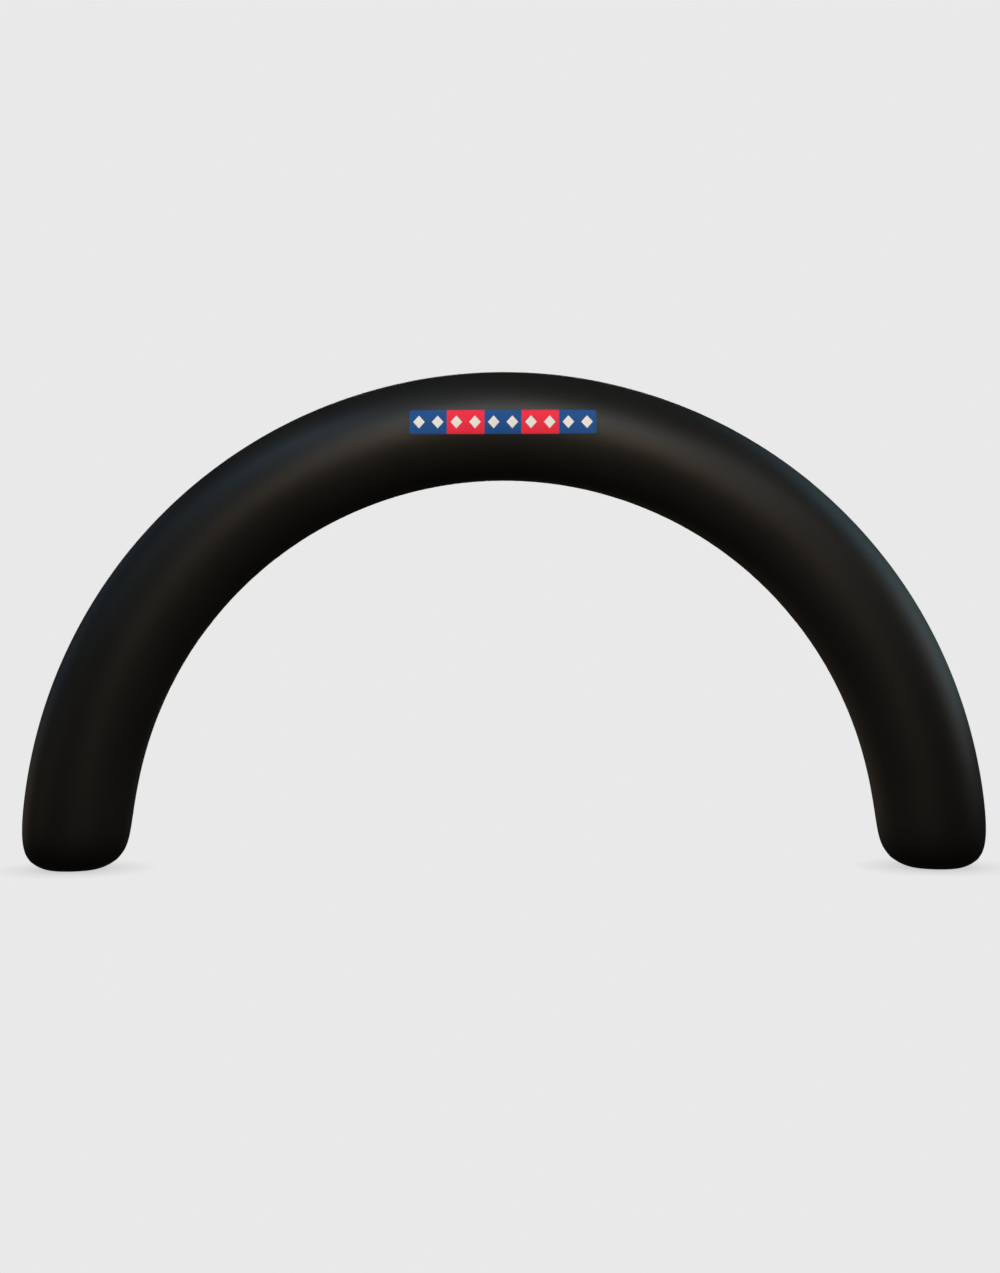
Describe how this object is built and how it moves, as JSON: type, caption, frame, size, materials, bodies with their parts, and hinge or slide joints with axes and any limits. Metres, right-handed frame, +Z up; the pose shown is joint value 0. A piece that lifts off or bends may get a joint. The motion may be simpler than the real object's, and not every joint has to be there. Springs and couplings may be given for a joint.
{
  "type": "inflatable arch",
  "caption": "Half-circle event arch: a round air-filled tube of black cloth that stands on its closed leg ends, with a printed cloth strip across the front of the crown.",
  "frame": {"origin": "on the floor midway between the legs, under the middle of the tube", "axes": "+X across the span from the left leg to the right leg as seen from the front, +Y from the front to the back, +Z up"},
  "size_m": [5.988, 0.6768, 3.087],
  "materials": {
    "black_cloth": "satin, coated",
    "base_cloth": "matt, coated",
    "band_cloth": "printed, satin"
  },
  "bodies": {
    "root": {"arch_tube": "black_cloth", "base_panel_left": "base_cloth", "base_panel_right": "base_cloth", "front_band": "band_cloth"}
  },
  "joints": []
}
